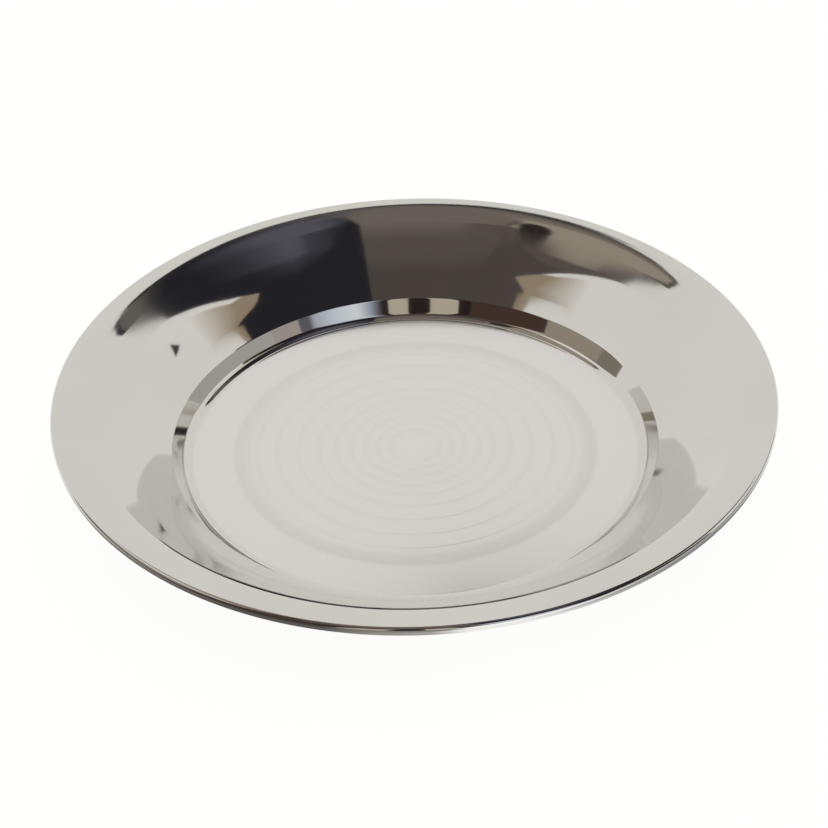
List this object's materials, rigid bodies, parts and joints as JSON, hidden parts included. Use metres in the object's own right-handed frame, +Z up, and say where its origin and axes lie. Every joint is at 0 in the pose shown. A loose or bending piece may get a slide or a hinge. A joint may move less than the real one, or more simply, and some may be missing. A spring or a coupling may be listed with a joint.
{
  "type": "thali plate",
  "caption": "Round stainless-steel thali plate pressed from sheet: flat base, short steep step, wide flared wall, narrow lip that levels off and an outward rolled rim. Food is served on it.",
  "frame": {"origin": "middle of the base's underside, on the surface that the plate stands on", "axes": "+Z up along the plate's axis; the plate is round, so X and Y are free"},
  "size_m": [0.22, 0.22, 0.0251],
  "materials": {
    "stainless_steel": "mirror-polished wall and rim, satin base with turned rings"
  },
  "bodies": {
    "root": {"plate": "stainless_steel"}
  },
  "joints": []
}
